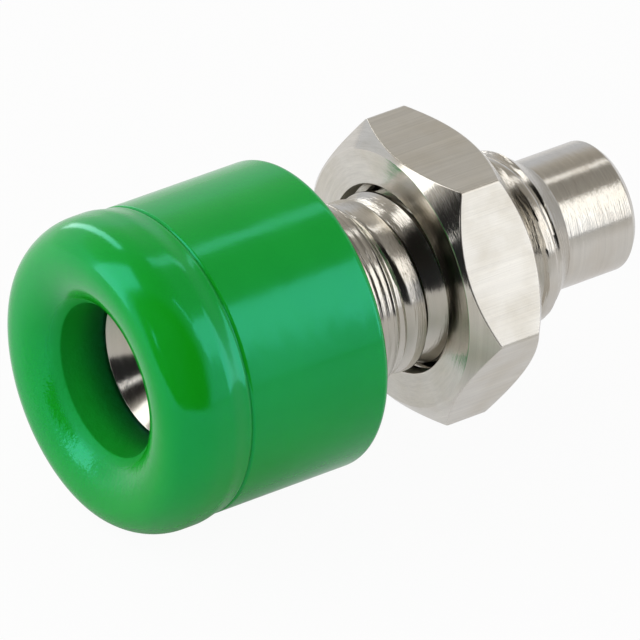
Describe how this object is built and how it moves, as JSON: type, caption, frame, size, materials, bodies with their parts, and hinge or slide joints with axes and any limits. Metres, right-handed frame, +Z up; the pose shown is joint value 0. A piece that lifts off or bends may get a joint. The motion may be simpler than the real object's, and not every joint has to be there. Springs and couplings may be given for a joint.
{
  "type": "miniature banana socket",
  "caption": "Panel-mount miniature plug socket with a green moulded head, a nickel-plated threaded bush ending in a solder tail, and a hex nut.",
  "frame": {"origin": "on the socket's axis, at the head's face that lies against the panel", "axes": "+X along the axis from the mouth towards the solder tail, +Z up, the mouth faces -X"},
  "size_m": [0.0138, 0.0072, 0.0072],
  "materials": {
    "green_plastic": "glossy moulded",
    "nickel_plated_brass": "turned, bright nickel plated",
    "nickel_plated_nut": "drawn hexagon bar, bright nickel plated"
  },
  "bodies": {
    "socket": {"insulating_head": "green_plastic", "contact_bush": "nickel_plated_brass"},
    "nut": {"hex_nut": "nickel_plated_nut"}
  },
  "joints": [
    {"name": "nut_travel", "type": "slide", "parent": "socket", "child": "nut", "axis": [1, 0, 0], "range_m": [-0.0011, 0.006]}
  ]
}
